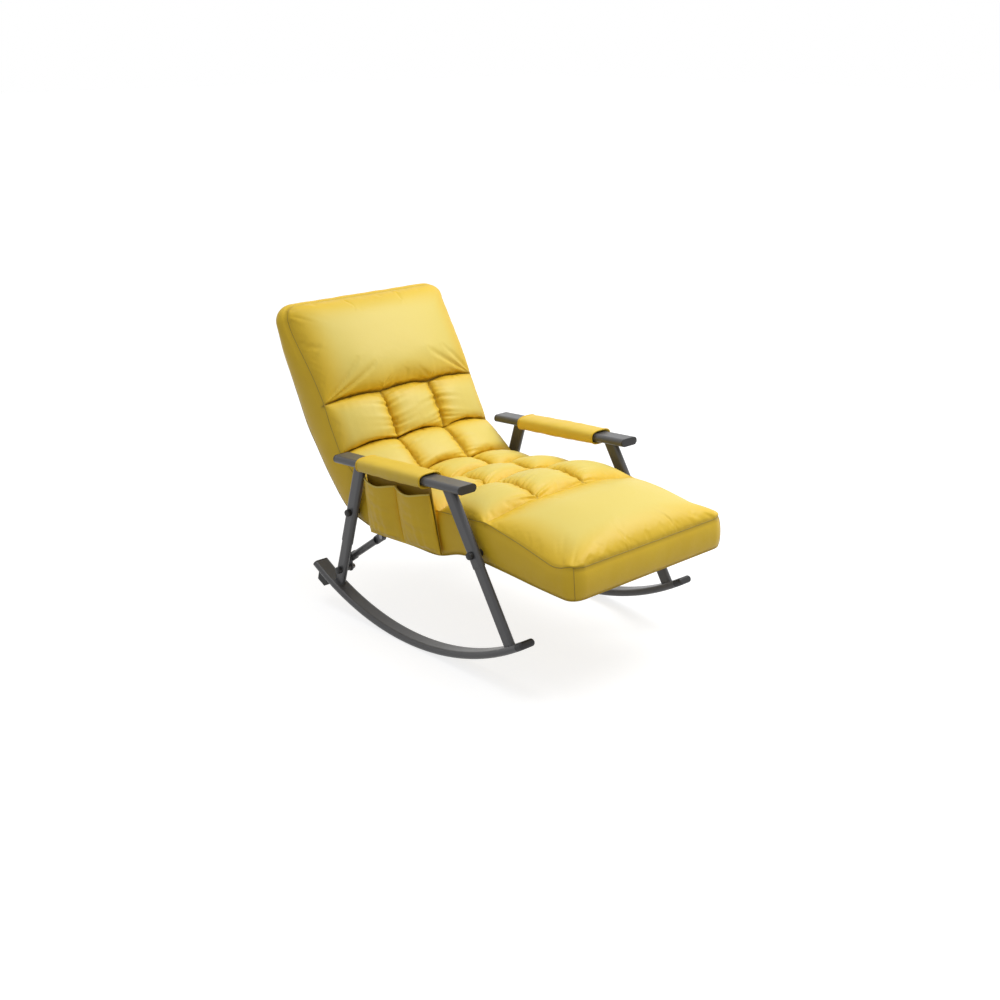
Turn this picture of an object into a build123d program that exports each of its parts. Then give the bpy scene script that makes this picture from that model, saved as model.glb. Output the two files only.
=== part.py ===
"""Reclining rocking chair: two bent-tube rocker frames carry a tufted three-section pad.

The sitter faces -Y, +Z is up, and the origin is on the floor where the rockers touch it,
midway between the two side frames.  All sizes are millimetres and degrees.
Points written as pairs are (Y, Z) in the side view.
"""

import os
from math import atan2, cos, degrees, hypot, radians, sin, sqrt

from build123d import *

# Side frames
frame_span = 600.0  # from the middle of one side frame to the middle of the other
pad_side_gap = 15.0  # pad to the inner faces of the legs
rail_inset = 25.0  # middle of a rail from the side of the pad
tube_wall = 1.5
thin_wall = 1.0  # tubes of the back section
rocker_radius = 840.0  # to the floor side of the rocker
rocker_front_reach = 440.0  # from the floor contact forwards to the end of the bare tube
rocker_rear_reach = 404.0
rocker_width = 50.0
rocker_depth = 20.0
front_foot_y = -391.0  # where the leg stands on the rocker
rear_foot_y = 309.0
front_leg_top_y = -161.0  # where the leg's middle line meets the middle of the armrest
rear_leg_top_y = 193.0
leg_width = 40.0
leg_depth = 20.0
leg_slip = 0.25  # between the lower leg and the upper leg that sleeves over it
front_sleeve_end_z = 296.0  # lower end of the upper leg
rear_sleeve_end_z = 213.0
leg_insert = 45.0  # lower leg above the bolt
arm_front = (-234.0, 491.0)
arm_rear = (275.0, 458.0)
arm_width = 60.0
arm_depth = 22.0

# Plastic end caps and rubber blocks
cap_flange = 4.0
cap_plug = 22.0
plug_clearance = 0.15
rocker_toe = 26.0
block_height = 34.0
block_length = 40.0
block_angle = 26.4  # round the rocker from the floor contact
block_draft = 5.0

# Armrest sleeves
sleeve_padding = 8.0
sleeve_gap = 0.3
pocket_sleeve_front_y = -92.0
plain_sleeve_front_y = -128.0
sleeve_rear_y = 166.0

# Pocket on the sitter's right
pocket_cloth = 2.0
pocket_back_x = 12.0  # inward from the side frame's middle plane
pocket_bulge = 30.0
pocket_top_y = (158.0, -88.0)
pocket_bottom = ((148.0, 268.0), (-124.0, 287.0))
pocket_mouth_drop = 38.0  # mouth below the sleeve
pocket_seam = 4.0  # width of the sewn strip beside and between the compartments

# Bolts
bolt_diameter = 8.0
bolt_clearance = 0.05  # radial
bolt_head = 13.0
bolt_head_height = 5.0
bolt_cap = 20.0
bolt_cap_height = 14.0
bolt_cap_round = 6.0
cap_clearance = 0.3
nut_across = 13.0
nut_height = 6.5
front_hinge_z = 325.0
rear_hinge_z = 309.0
brace_bolt_z = 122.0

# Inner frame
rail_size = 25.0
rail_corner = 4.0
rail_end_gap = 34.0  # rail end to hinge axis
plate_thickness = 4.0
plate_width = 24.0
plate_overlap = 26.0  # plate along the rail
spacer_diameter = 18.0
slide_gap = 0.2  # between faces that turn against each other
cross_tube = 22.0
seat_cross_y = (-180.0, 140.0)
back_elbow = (402.0, 490.5)
back_rail_end = (10.0, -51.0)  # from the top of the head's face
back_bend = 150.0
foot_front = (-568.0, 307.0)
webbing_thickness = 2.0
webbing_gap = 0.3

# Braces from the rear feet to the seat
brace_tube = 20.0
brace_foot = (300.0, 147.0)
brace_head = (152.0, 252.0)
brace_tab = 24.0
brace_tab_length = 30.0
rivet_diameter = 8.0
rivet_head = 14.0
rivet_head_height = 3.0

# Pad
middle_column_share = 0.32  # of the pad's width
skirt = 7.5  # thickness of the pad's side walls around the rails
cover = 2.0  # thickness of the closing sheets
pad_gap = 0.4
hinge_room = 40.0  # clear width round the hinge bolts
wall_gap = 4.0  # rail ends to the pad's end walls
seam_drop = 24.0  # side seam below the creases
seam_inset = 10.0
tuft_crown = 30.0
tuft_channel = 12.0
tuft_root = 6.0
head_crown = 48.0
foot_crown = 48.0
crown_top_share = 0.5  # top of a tuft against its foot
crown_shoulder_share = 0.9
crown_shoulder_height = 0.55
crease_foot = (-275.0, 427.0)
crease_5 = (-62.0, 412.0)
crease_4 = (92.0, 380.0)
crease_3 = (205.0, 388.0)
crease_2 = (316.0, 455.0)
crease_1 = (386.0, 583.0)
head_top = (550.0, 842.0)
head_depth = (40.0, -39.0)  # from the top of the face to the top of the back
foot_top = (-590.0, 371.0)
foot_bottom = (-590.0, 290.0)
foot_heel = (-262.0, 297.0)
seat_underside = ((-250.0, 297.0), (-186.0, 296.0), (-99.0, 268.0), (205.0, 271.0), (262.0, 294.0))
back_underside = ((222.0, 284.0), (308.0, 307.0), (408.0, 415.0), (489.0, 530.0), (534.0, 625.0))

# Travel
back_raise = 18.0
back_recline = 36.0
foot_raise = 10.0
foot_drop = 50.0
travel_spare = 1.5
back_low_angle = -32.0  # lower face of the back section at its hinge, from straight back
foot_low_angle = 225.0

os.makedirs("parts", exist_ok=True)
half_span = frame_span / 2
pad_width = frame_span - leg_depth - 2 * pad_side_gap
rail_span = pad_width - 2 * rail_inset  # centre to centre of the rails
middle_column = middle_column_share * pad_width
head_back = (head_top[0] + head_depth[0], head_top[1] + head_depth[1])
back_top = (head_top[0] + back_rail_end[0], head_top[1] + back_rail_end[1])
rocker_inner = rocker_radius - rocker_depth
sides = {"left": 1, "right": -1}


def save(part, name):
    """Labels a finished piece and writes it."""
    part.label = name
    export_step(part, f"parts/{name}.step")


def heading(start, end):
    """Unit vector and length from one side-view point to another."""
    length = hypot(end[0] - start[0], end[1] - start[1])
    return ((end[0] - start[0]) / length, (end[1] - start[1]) / length), length


def along(start, end, distance):
    """Point at a distance from start on the way to end."""
    unit, _ = heading(start, end)
    return (start[0] + unit[0] * distance, start[1] + unit[1] * distance)


def beside(start, end, distance):
    """The step that moves a line sideways, to its left."""
    unit, _ = heading(start, end)
    return (-unit[1] * distance, unit[0] * distance)


def shifted(points, distance):
    """A path moved to its left, with mitred corners."""
    result = []
    for i, point in enumerate(points):
        before = beside(points[max(i - 1, 0)], points[max(i, 1)], 1)
        after = beside(points[min(i, len(points) - 2)], points[min(i + 1, len(points) - 1)], 1)
        reach = distance / (1 + before[0] * after[0] + before[1] * after[1])
        result.append((point[0] + (before[0] + after[0]) * reach, point[1] + (before[1] + after[1]) * reach))
    return result


def rocker_z(y, radius):
    """Height of the rocker's arc of this radius above the floor."""
    return rocker_radius - sqrt(radius**2 - y**2)


def arm_z(y):
    """Height of the armrest's middle line."""
    return arm_front[1] + (arm_rear[1] - arm_front[1]) * (y - arm_front[0]) / (arm_rear[0] - arm_front[0])


def on_line(start, end, z):
    """Point of a line at this height."""
    return (start[0] + (end[0] - start[0]) * (z - start[1]) / (end[1] - start[1]), z)


front_foot = (front_foot_y, rocker_z(front_foot_y, rocker_inner))
rear_foot = (rear_foot_y, rocker_z(rear_foot_y, rocker_inner))
front_leg_top = (front_leg_top_y, arm_z(front_leg_top_y))
rear_leg_top = (rear_leg_top_y, arm_z(rear_leg_top_y))
front_hinge = on_line(front_foot, front_leg_top, front_hinge_z)
rear_hinge = on_line(rear_foot, rear_leg_top, rear_hinge_z)
brace_bolt = on_line(rear_foot, rear_leg_top, brace_bolt_z)
lower_width = leg_width - 2 * tube_wall - 2 * leg_slip
lower_depth = leg_depth - 2 * tube_wall - 2 * leg_slip


def cross_plane(x, start, end):
    """Plane across a side-view line, at its start, with its own x along the chair's X."""
    unit, _ = heading(start, end)
    return Plane(origin=(x, *start), x_dir=(1, 0, 0), z_dir=(0, *unit))


def oval_tube(plane, length, width, depth, turn=0):
    """Flat-oval tube standing on a plane."""
    with BuildPart() as tube:
        with BuildSketch(plane):
            SlotOverall(width, depth, rotation=turn)
            SlotOverall(width - 2 * tube_wall, depth - 2 * tube_wall, rotation=turn, mode=Mode.SUBTRACT)
        extrude(amount=length)
    return tube.part


def rod(x0, x1, point, diameter, mode=Mode.ADD):
    """Round bar along X, added to or cut from the piece being made."""
    with Locations(Location(((x0 + x1) / 2, *point), (0, 90, 0))):
        Cylinder(diameter / 2, abs(x1 - x0), mode=mode)


def bore(point, diameter):
    """Round hole along X right through the piece being made."""
    rod(-frame_span, frame_span, point, diameter, Mode.SUBTRACT)


def block(points, x0, x1, mode=Mode.ADD):
    """Prism with a side-view outline, added to or cut from the piece being made."""
    with BuildSketch(Plane.YZ.offset(min(x0, x1))) as outline:
        with BuildLine():
            Polyline(*points, close=True)
        make_face()
    extrude(outline.sketch, amount=abs(x1 - x0), mode=mode)


def link(x0, x1, start, end, width):
    """Round-ended flat bar between two side-view points."""
    unit, length = heading(start, end)
    middle = ((start[0] + end[0]) / 2, (start[1] + end[1]) / 2)
    with BuildSketch(Plane.YZ.offset(min(x0, x1))) as outline:
        with Locations(middle):
            SlotCenterToCenter(length, width, rotation=degrees(atan2(unit[1], unit[0])))
    extrude(outline.sketch, amount=abs(x1 - x0))


def arc_plane(x, angle):
    """Plane across the rocker at an angle round from the floor contact, rear positive."""
    a = radians(angle)
    origin = (x, rocker_radius * sin(a), rocker_radius * (1 - cos(a)))
    return Plane(origin=origin, x_dir=(1, 0, 0), z_dir=(0, -cos(a), -sin(a)))


rocker_axis = Axis((0, 0, rocker_radius), (1, 0, 0))
front_angle = degrees(atan2(rocker_front_reach, sqrt(rocker_radius**2 - rocker_front_reach**2)))
rear_angle = degrees(atan2(rocker_rear_reach, sqrt(rocker_radius**2 - rocker_rear_reach**2)))
bolt_hole = bolt_diameter + 2 * bolt_clearance

# Rockers, swung from the rear end to the front end about the centre of their arc
for side, s in sides.items():
    with BuildPart() as rocker:
        with BuildSketch(arc_plane(s * half_span, rear_angle)):
            with Locations((0, rocker_depth / 2)):
                SlotOverall(rocker_width, rocker_depth)
                SlotOverall(rocker_width - 2 * tube_wall, rocker_depth - 2 * tube_wall, mode=Mode.SUBTRACT)
        revolve(axis=rocker_axis, revolution_arc=-(front_angle + rear_angle))
    save(rocker.part, f"rocker_{side}")

# Plugs that close the rocker ends: a toe cap in front, a flat cap behind
toe_angle = degrees(rocker_toe / rocker_radius)
flange_angle = degrees(cap_flange / rocker_radius)
plug_angle = degrees(cap_plug / rocker_radius)


def rocker_end(start, end, width, depth):
    """Stretch of rocker-shaped plastic between two angles, on both rockers."""
    with BuildPart() as stretch:
        for s in sides.values():
            with BuildSketch(arc_plane(s * half_span, start)):
                with Locations((0, rocker_depth / 2)):
                    SlotOverall(width, depth)
            revolve(axis=rocker_axis, revolution_arc=end - start)
    return stretch.part


plug_width = rocker_width - 2 * tube_wall - 2 * plug_clearance
plug_depth = rocker_depth - 2 * tube_wall - 2 * plug_clearance
with BuildPart() as front_caps:
    add(rocker_end(-front_angle, -front_angle - toe_angle, rocker_width, rocker_depth))
    toe_tips = front_caps.faces().sort_by(Axis.Y)[:2]
    fillet(toe_tips.edges(), rocker_depth * 0.3)
    add(rocker_end(-front_angle, -front_angle + plug_angle, plug_width, plug_depth))
save(front_caps.part, "rocker_front_caps")

with BuildPart() as rear_caps:
    add(rocker_end(rear_angle, rear_angle + flange_angle, rocker_width, rocker_depth))
    add(rocker_end(rear_angle, rear_angle - plug_angle, plug_width, plug_depth))
save(rear_caps.part, "rocker_rear_caps")

# Rubber blocks under the rear ends stop the chair from rocking over backwards
with BuildPart() as blocks:
    for s in sides.values():
        flat = arc_plane(s * half_span, block_angle)
        with BuildSketch(flat.rotated((90, 0, 0)).offset(-rocker_depth / 2)):
            Rectangle(rocker_width - rocker_depth, block_length)
        extrude(amount=block_height + rocker_depth / 2, taper=block_draft)
    with Locations(Location((0, 0, rocker_radius), (0, 90, 0))):
        Cylinder(rocker_radius, 2 * frame_span, mode=Mode.SUBTRACT)
save(blocks.part, "anti_tip_blocks")

# Legs: a lower tube welded to the rocker slides into an upper tube welded to the armrest
arm_unit, arm_length = heading(arm_front, arm_rear)
arm_under = Plane(origin=(0, arm_front[0], arm_front[1]), x_dir=(1, 0, 0), z_dir=(0, -arm_unit[1], arm_unit[0]))
arm_under = arm_under.offset(-arm_depth / 2)
legs = {
    "front": (front_foot, front_leg_top, front_hinge, front_sleeve_end_z, [front_hinge]),
    "rear": (rear_foot, rear_leg_top, rear_hinge, rear_sleeve_end_z, [rear_hinge, brace_bolt]),
}
for end, (foot, top, hinge, sleeve_z, holes) in legs.items():
    _, leg_length = heading(foot, top)
    below = along(foot, top, -leg_width)
    insert_end = along(hinge, top, leg_insert)
    sleeve_end = on_line(foot, top, sleeve_z)
    for side, s in sides.items():
        x = s * half_span
        with BuildPart() as lower_leg:
            _, lower_length = heading(below, insert_end)
            add(oval_tube(cross_plane(x, below, top), lower_length, lower_width, lower_depth, 90))
            with Locations(Location((0, 0, rocker_radius), (0, 90, 0))):
                Cylinder(rocker_inner, 2 * frame_span, mode=Mode.INTERSECT)
            for hole in holes:
                bore(hole, bolt_hole)
        save(lower_leg.part, f"lower_{end}_leg_{side}")

        with BuildPart() as upper_leg:
            _, upper_length = heading(sleeve_end, top)
            add(oval_tube(cross_plane(x, sleeve_end, top), upper_length + arm_depth, leg_width, leg_depth, 90))
            split(bisect_by=arm_under, keep=Keep.BOTTOM)
            bore(hinge, bolt_hole)
        save(upper_leg.part, f"upper_{end}_leg_{side}")

# Armrests, their end caps and their padded sleeves
for side, s in sides.items():
    armrest = oval_tube(cross_plane(s * half_span, arm_front, arm_rear), arm_length, arm_width, arm_depth)
    save(armrest, f"armrest_{side}")

for name, here, there in (("front", arm_front, arm_rear), ("rear", arm_rear, arm_front)):
    with BuildPart() as arm_caps:
        for s in sides.values():
            with BuildSketch(cross_plane(s * half_span, here, there)):
                SlotOverall(arm_width, arm_depth)
            extrude(amount=-cap_flange)
            with BuildSketch(cross_plane(s * half_span, here, there)):
                SlotOverall(arm_width - 2 * tube_wall - 2 * plug_clearance, arm_depth - 2 * tube_wall - 2 * plug_clearance)
            extrude(amount=cap_plug)
    save(arm_caps.part, f"armrest_{name}_caps")

for side, s in sides.items():
    sleeve_front_y = pocket_sleeve_front_y if s < 0 else plain_sleeve_front_y
    start = (sleeve_front_y, arm_z(sleeve_front_y))
    end = (sleeve_rear_y, arm_z(sleeve_rear_y))
    with BuildPart() as sleeve:
        with BuildSketch(cross_plane(s * half_span, start, end)):
            SlotOverall(arm_width + 2 * sleeve_padding, arm_depth + 2 * sleeve_padding)
            SlotOverall(arm_width + 2 * sleeve_gap, arm_depth + 2 * sleeve_gap, mode=Mode.SUBTRACT)
        extrude(amount=heading(start, end)[1])
    save(sleeve.part, f"armrest_sleeve_{side}")

# Pocket that hangs from the right sleeve: a flat back, a front sewn into two bulging compartments, two floors
pocket_x = pocket_back_x - half_span
hang = arm_depth / 2 + sleeve_padding
pocket_top = [(y, arm_z(y) - hang / arm_unit[0] - pad_gap) for y in pocket_top_y]
pocket_outline = [pocket_top[0], *pocket_bottom, pocket_top[1]]
mouth = [(y, z - pocket_mouth_drop) for y, z in pocket_top]
mouth_outline = [mouth[0], *pocket_bottom, mouth[1]]
pocket_ends = (pocket_top_y[0], pocket_bottom[1][0])
pocket_middle = sum(pocket_ends) / 2
compartments = [
    (pocket_ends[0] - pocket_seam, pocket_middle + pocket_seam),
    (pocket_middle - pocket_seam, pocket_ends[1] + pocket_seam),
]
pocket_low = min(z for _, z in pocket_bottom)

with BuildPart() as pocket_back:
    block(pocket_outline, pocket_x, pocket_x + pocket_cloth)
save(pocket_back.part, "pocket_back_panel")


def compartment_plan(inset):
    """Plan of both compartments, each an arc bulging out from the flat back."""
    with BuildSketch(Plane.XY.offset(pocket_low - pocket_cloth)) as plan:
        for rear, front in compartments:
            with BuildLine():
                bow = ThreePointArc(
                    (pocket_x, rear - inset),
                    (pocket_x - pocket_bulge + inset, (rear + front) / 2),
                    (pocket_x, front + inset),
                )
                Line(bow @ 1, bow @ 0)
            make_face()
    return plan.sketch


pocket_height = mouth[1][1] - pocket_low + 2 * pocket_cloth
with BuildPart() as pocket_front:
    extrude(compartment_plan(0), amount=pocket_height)
    extrude(compartment_plan(pocket_cloth), amount=pocket_height, mode=Mode.SUBTRACT)
    block(mouth_outline, pocket_x - pocket_bulge, pocket_x, Mode.INTERSECT)
save(pocket_front.part, "pocket_front_panel")

floor_outline = [*pocket_bottom, *[(y, z + pocket_cloth) for y, z in reversed(pocket_bottom)]]
with BuildPart() as pocket_floors:
    extrude(compartment_plan(pocket_cloth), amount=pocket_height)
    block(floor_outline, pocket_x - pocket_bulge, pocket_x, Mode.INTERSECT)
save(pocket_floors.part, "pocket_floors")

# Bolts through the legs: the hinge bolts also carry the back and foot sections
leg_outer = half_span + leg_depth / 2
leg_inner = half_span - leg_depth / 2
rail_outer = rail_span / 2 + rail_size / 2
rail_inner = rail_span / 2 - rail_size / 2
seat_plate_outer = rail_outer + plate_thickness
turning_plate_inner = rail_inner - slide_gap - plate_thickness
nut_outer = turning_plate_inner - slide_gap
bolt_end = nut_outer - nut_height - 2
lower_outer = half_span + lower_depth / 2
lower_inner = half_span - lower_depth / 2
foot_bracket_outer = lower_inner
brace_x = seat_plate_outer + plate_thickness / 2
brace_nut_outer = brace_x - plate_thickness / 2


def bolts(points, outer, inner):
    """One bolt on each side at each point, its head outside the leg."""
    with BuildPart() as group:
        for s in sides.values():
            for point in points:
                rod(s * inner, s * outer, point, bolt_diameter)
                rod(s * outer, s * (outer + bolt_head_height), point, bolt_head)
    return group.part


save(bolts([front_hinge], leg_outer, bolt_end), "front_hinge_bolts")
save(bolts([rear_hinge], leg_outer, bolt_end), "rear_hinge_bolts")
save(bolts([brace_bolt], lower_outer, brace_nut_outer - nut_height - 2), "brace_bolts")

with BuildPart() as bolt_caps:
    for s in sides.values():
        for point, outer in ((front_hinge, leg_outer), (rear_hinge, leg_outer), (brace_bolt, lower_outer)):
            rod(s * outer, s * (outer + bolt_cap_height), point, bolt_cap)
    fillet(bolt_caps.faces().filter_by(Axis.X).sort_by(lambda f: -abs(f.center().X))[:6].edges(), bolt_cap_round)
    for s in sides.values():
        for point, outer in ((front_hinge, leg_outer), (rear_hinge, leg_outer), (brace_bolt, lower_outer)):
            room = bolt_head_height + cap_clearance
            rod(s * outer, s * (outer + room), point, bolt_head + 2 * cap_clearance, Mode.SUBTRACT)
save(bolt_caps.part, "bolt_caps")


def nuts(points, outer):
    """Hexagon nuts on the inner ends of bolts."""
    with BuildPart() as group:
        for s in sides.values():
            start = min(s * outer, s * (outer - nut_height))
            for point in points:
                with BuildSketch(Plane.YZ.offset(start)) as hexagon:
                    with Locations(point):
                        RegularPolygon(nut_across / 2, 6, major_radius=False)
                        Circle(bolt_hole / 2, mode=Mode.SUBTRACT)
                extrude(hexagon.sketch, amount=nut_height)
    return group.part


save(nuts([front_hinge, rear_hinge], nut_outer), "hinge_nuts")
save(nuts([brace_bolt], brace_nut_outer), "brace_nuts")


def bushes(points, outer, inner, diameter):
    """Round spacers on bolts."""
    with BuildPart() as group:
        for s in sides.values():
            for point in points:
                rod(s * inner, s * outer, point, diameter)
        for point in points:
            bore(point, bolt_hole)
    return group.part


save(bushes([front_hinge, rear_hinge], leg_inner, seat_plate_outer, spacer_diameter), "leg_spacers")
save(bushes([front_hinge, rear_hinge], rail_outer, rail_inner, spacer_diameter), "hinge_spacers")

# Inner frame of the seat, with hinge plates outside its rails and a dropped plate for each brace
seat_path = [along(front_hinge, rear_hinge, rail_end_gap), along(rear_hinge, front_hinge, rail_end_gap)]
back_path = [along(rear_hinge, back_elbow, rail_end_gap), back_elbow, back_top]
foot_path = [foot_front, along(front_hinge, foot_front, rail_end_gap)]


def rail(x, path, wall):
    """Square tube along a side-view path, bent to a radius at each corner."""
    with BuildPart() as tube:
        with BuildLine(Plane.YZ.offset(x)) as route:
            if len(path) > 2:
                FilletPolyline(*path, radius=back_bend)
            else:
                Line(*path)
        with BuildSketch(cross_plane(x, path[0], path[1])) as section:
            RectangleRounded(rail_size, rail_size, rail_corner)
            inside = rail_size - 2 * wall
            RectangleRounded(inside, inside, rail_corner - wall, mode=Mode.SUBTRACT)
        sweep(section.sketch, path=route.line)
    return tube.part


for side, s in sides.items():
    save(rail(s * rail_span / 2, seat_path, tube_wall), f"seat_rail_{side}")
    save(rail(s * rail_span / 2, back_path, thin_wall), f"back_rail_{side}")
    save(rail(s * rail_span / 2, foot_path, tube_wall), f"foot_rail_{side}")


def hinge_plates(ends, near, far):
    """Plates on both sides, from a rail to its hinge axis, with a hole for the bolt."""
    with BuildPart() as group:
        for s in sides.values():
            for hinge, towards in ends:
                link(s * near, s * far, hinge, along(hinge, towards, rail_end_gap + plate_overlap), plate_width)
        for hinge, _ in ends:
            bore(hinge, bolt_hole)
    return group.part


seat_ends = [(front_hinge, rear_hinge), (rear_hinge, front_hinge)]
turning_plate_outer = turning_plate_inner + plate_thickness
save(hinge_plates(seat_ends, rail_outer, seat_plate_outer), "seat_hinge_plates")
save(hinge_plates([(rear_hinge, back_elbow)], turning_plate_inner, turning_plate_outer), "back_hinge_plates")
save(hinge_plates([(front_hinge, foot_front)], turning_plate_inner, turning_plate_outer), "foot_hinge_plates")


def cross_tubes(points, wall):
    """Round tubes from rail to rail."""
    with BuildPart() as group:
        for point in points:
            rod(-rail_inner, rail_inner, point, cross_tube)
            rod(-rail_inner, rail_inner, point, cross_tube - 2 * wall, Mode.SUBTRACT)
    return group.part


def rail_point(path, y):
    """Point on a straight rail at this Y."""
    return (y, path[0][1] + (path[1][1] - path[0][1]) * (y - path[0][0]) / (path[1][0] - path[0][0]))


save(cross_tubes([rail_point(seat_path, y) for y in seat_cross_y], tube_wall), "seat_cross_tubes")
save(cross_tubes([along(back_top, back_elbow, rail_size)], thin_wall), "back_cross_tube")
plate_reach = rail_end_gap + plate_overlap + plate_width / 2
foot_cross = [along(foot_front, front_hinge, rail_size / 2), along(front_hinge, foot_front, plate_reach + cross_tube)]
save(cross_tubes(foot_cross, tube_wall), "foot_cross_tubes")


def sheet(path, near, far, half_width, bend=0):
    """Sheet across the chair between two offsets from a side-view path."""
    with BuildPart() as cloth:
        with BuildSketch(Plane.YZ.offset(-half_width)) as section:
            with BuildLine():
                edges = []
                for offset in (near, far):
                    points = shifted(path, offset)
                    if bend:
                        edges.append(FilletPolyline(*points, radius=bend - offset))
                    else:
                        edges.append(Polyline(*points))
                Line(edges[0] @ 0, edges[1] @ 0)
                Line(edges[0] @ 1, edges[1] @ 1)
            make_face()
        extrude(section.sketch, amount=2 * half_width)
    return cloth.part


webbing_low = rail_size / 2 + webbing_gap
webbing_high = webbing_low + webbing_thickness
support = webbing_high + pad_gap
save(sheet(seat_path, webbing_low, webbing_high, rail_outer), "seat_webbing")
save(sheet(back_path, webbing_low, webbing_high, rail_outer, back_bend), "back_webbing")
save(sheet(foot_path, webbing_low, webbing_high, rail_outer), "foot_webbing")

# Braces with flattened ends, from a bracket at the rear foot to a plate under each seat rail
brace_unit, brace_length = heading(brace_foot, brace_head)
rail_over_brace = rail_point(seat_path, brace_head[0])
for side, s in sides.items():
    x = s * brace_x
    near, far = s * (brace_x - plate_thickness / 2), s * (brace_x + plate_thickness / 2)
    with BuildPart() as brace:
        start = along(brace_foot, brace_head, brace_tab_length)
        with BuildSketch(cross_plane(x, start, brace_head)) as ring:
            Circle(brace_tube / 2)
            Circle(brace_tube / 2 - tube_wall, mode=Mode.SUBTRACT)
        extrude(ring.sketch, amount=brace_length - 2 * brace_tab_length)
        for here, there in ((brace_foot, brace_head), (brace_head, brace_foot)):
            link(near, far, here, along(here, there, brace_tab_length + tube_wall), brace_tab)
            bore(here, rivet_diameter + 2 * bolt_clearance)
    save(brace.part, f"brace_{side}")

with BuildPart() as seat_brace_plates:
    for s in sides.values():
        link(s * rail_outer, s * seat_plate_outer, rail_over_brace, brace_head, plate_width)
    bore(brace_head, rivet_diameter + 2 * bolt_clearance)
save(seat_brace_plates.part, "seat_brace_plates")

bracket_near = brace_x + plate_thickness / 2
with BuildPart() as foot_brackets:
    for s in sides.values():
        rod(s * bracket_near, s * foot_bracket_outer, brace_bolt, spacer_diameter)
        link(s * bracket_near, s * (bracket_near + plate_thickness), brace_bolt, brace_foot, plate_width)
    bore(brace_bolt, bolt_hole)
    bore(brace_foot, rivet_diameter + 2 * bolt_clearance)
save(foot_brackets.part, "brace_foot_brackets")

# Washers between the brackets and the brace nuts
with BuildPart() as brace_washers:
    for s in sides.values():
        rod(s * brace_nut_outer, s * bracket_near, brace_bolt, spacer_diameter)
    bore(brace_bolt, bolt_hole)
save(brace_washers.part, "brace_washers")

with BuildPart() as rivets:
    for s in sides.values():
        for point, inner, outer in (
            (brace_head, rail_outer, bracket_near),
            (brace_foot, brace_nut_outer, bracket_near + plate_thickness),
        ):
            rod(s * inner, s * outer, point, rivet_diameter)
            rod(s * (inner - rivet_head_height), s * inner, point, rivet_head)
            rod(s * outer, s * (outer + rivet_head_height), point, rivet_head)
save(rivets.part, "brace_rivets")

# Pad: each section is one foam-filled solid, open below round its rails, with tufts raised on top
pad_side = pad_width / 2
cavity_side = pad_side - skirt
cover_side = cavity_side - pad_gap
outside = 3 * pad_width  # far enough to clear the whole chair
sector_steps = 6  # straight edges that close a wedge, all outside the chair


def direction(start, end):
    """Angle of a side-view line, from straight back towards straight up."""
    return degrees(atan2(end[1] - start[1], end[0] - start[0]))


def sector(centre, start, end):
    """Side-view wedge from one angle round to another, about a hinge axis."""
    angles = [radians(start + (end - start) * i / sector_steps) for i in range(sector_steps + 1)]
    return [centre, *[(centre[0] + outside * cos(a), centre[1] + outside * sin(a)) for a in angles]]


back_crease = direction(rear_hinge, crease_3)
foot_crease = direction(front_hinge, crease_foot)
half_back = (back_raise + travel_spare) / 2
half_foot = (foot_raise + travel_spare) / 2
behind_seat = sector(rear_hinge, back_low_angle - back_recline - travel_spare, back_crease + half_back)
ahead_of_seat = sector(front_hinge, foot_crease - half_foot, foot_low_angle + foot_drop + travel_spare)
ahead_of_back = sector(rear_hinge, back_crease - half_back, 360 + back_low_angle)
behind_foot = sector(front_hinge, foot_low_angle, 360 + foot_crease + half_foot)

turn = radians(direction(back_elbow, back_top) - direction(rear_hinge, back_elbow))
bend_rise = back_bend * (1 / cos(turn / 2) - 1)
back_end = along(back_top, back_elbow, -wall_gap)
foot_end = along(foot_front, front_hinge, -wall_gap)
seat_support = shifted([front_hinge, rear_hinge], support)
back_support = shifted([rear_hinge, back_elbow, back_end], support + bend_rise)
foot_support = shifted([foot_end, front_hinge], support)
back_line = [*back_underside, head_back]


def crossing(origin, unit, start, end):
    """Where the line through origin, square to unit, cuts the line from start to end."""
    near = (start[0] - origin[0]) * unit[0] + (start[1] - origin[1]) * unit[1]
    far = (end[0] - origin[0]) * unit[0] + (end[1] - origin[1]) * unit[1]
    return along(start, end, heading(start, end)[1] * near / (near - far))


back_unit, _ = heading(back_elbow, back_top)
back_floor = [*back_underside, crossing(back_support[-1], back_unit, back_underside[-1], head_back)]


def tuft(start, end, x0, x1, crown):
    """Pillow sewn down along its edges, standing on the side-view line from start to end."""
    unit, length = heading(start, end)
    middle = ((x0 + x1) / 2, (start[0] + end[0]) / 2, (start[1] + end[1]) / 2)
    foot = Plane(origin=middle, x_dir=(1, 0, 0), z_dir=(0, -unit[1], unit[0]))
    width = x1 - x0 - tuft_channel
    depth = length - tuft_channel
    corner = min(width, depth) / 4
    with BuildPart() as pillow:
        for height, share in ((-tuft_root, 1), (crown * crown_shoulder_height, crown_shoulder_share), (crown, crown_top_share)):
            with BuildSketch(foot.offset(height)):
                RectangleRounded(width * share, depth * share, corner * share)
        loft()
    return pillow.part


def tufted_rows(creases):
    """Three columns of tufts in each row between two creases."""
    edge = pad_side - seam_inset
    columns = [(-edge, -middle_column / 2), (-middle_column / 2, middle_column / 2), (middle_column / 2, edge)]
    for start, end in zip(creases, creases[1:]):
        for x0, x1 in columns:
            add(tuft(start, end, x0, x1, tuft_crown))


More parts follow.
